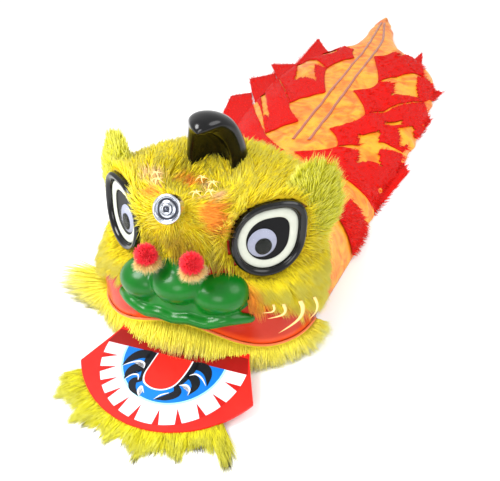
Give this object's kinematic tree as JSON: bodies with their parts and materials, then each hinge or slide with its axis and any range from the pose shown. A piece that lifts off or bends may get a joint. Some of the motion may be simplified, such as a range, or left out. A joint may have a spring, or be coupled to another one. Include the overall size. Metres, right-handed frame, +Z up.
{
  "type": "lion dance head with its body cloth",
  "caption": "Child-size lion dance head: furred shell with googly eyes, horn, green nose, hinged-by-cloth jaw board and a trailing satin and plush body cloth.",
  "frame": {"origin": "middle of the whole object on the surface that it lies on", "axes": "+Z up, the lion faces -Y and its body cloth trails towards +Y, its left side is +X"},
  "size_m": [0.509, 1.8098, 0.3125],
  "materials": {
    "shell": "moulded red plastic, satin gloss",
    "fur": "long-pile yellow fur",
    "brow": "yellow fur with greenish edges",
    "black": "black, high gloss",
    "cream": "pale cream, gloss",
    "eye_white": "white",
    "lens": "clear domed plastic",
    "silver": "silvered",
    "green": "green, high gloss",
    "pompom": "red chenille",
    "ruff": "pale short fur",
    "piping": "orange cord",
    "fringe": "pale yellow fur",
    "board": "laminated board, printed",
    "tab": "dark red cloth",
    "beard": "yellow-green fur",
    "satin": "orange satin",
    "ribbon": "orange-brown ribbon",
    "plush": "red plush"
  },
  "bodies": {
    "root": {"head_shell": "shell", "crown_fur": "fur", "cheek_fur_left": "fur", "cheek_fur_right": "fur", "brow_flare_left": "brow", "brow_flare_right": "brow", "eye_frame_left": "black", "eye_frame_right": "black", "eye_field_left": "black", "eye_field_right": "black", "eye_ring_left": "cream", "eye_ring_right": "cream", "wiggle_base_left": "eye_white", "wiggle_base_right": "eye_white", "wiggle_pupil_left": "black", "wiggle_pupil_right": "black", "wiggle_lens_left": "lens", "wiggle_lens_right": "lens", "horn": "black", "mirror_disc": "silver", "mirror_boss": "silver", "nose": "green", "pompom_left": "pompom", "pompom_right": "pompom", "pompom_ruff_left": "ruff", "pompom_ruff_right": "ruff", "lip_piping": "piping", "lip_fringe": "fringe", "jaw_board": "board", "jaw_tab_left": "tab", "jaw_tab_right": "tab", "beard": "beard", "body_cloth": "satin", "spine_ribbon_left": "ribbon", "spine_ribbon_right": "ribbon", "plush_patch_left": "plush", "plush_row_left_1": "plush", "plush_row_left_2": "plush", "plush_row_left_3": "plush", "plush_row_left_4": "plush", "plush_row_right_1": "plush", "plush_row_right_2": "plush", "plush_row_right_3": "plush", "plush_row_right_4": "plush"}
  },
  "joints": []
}
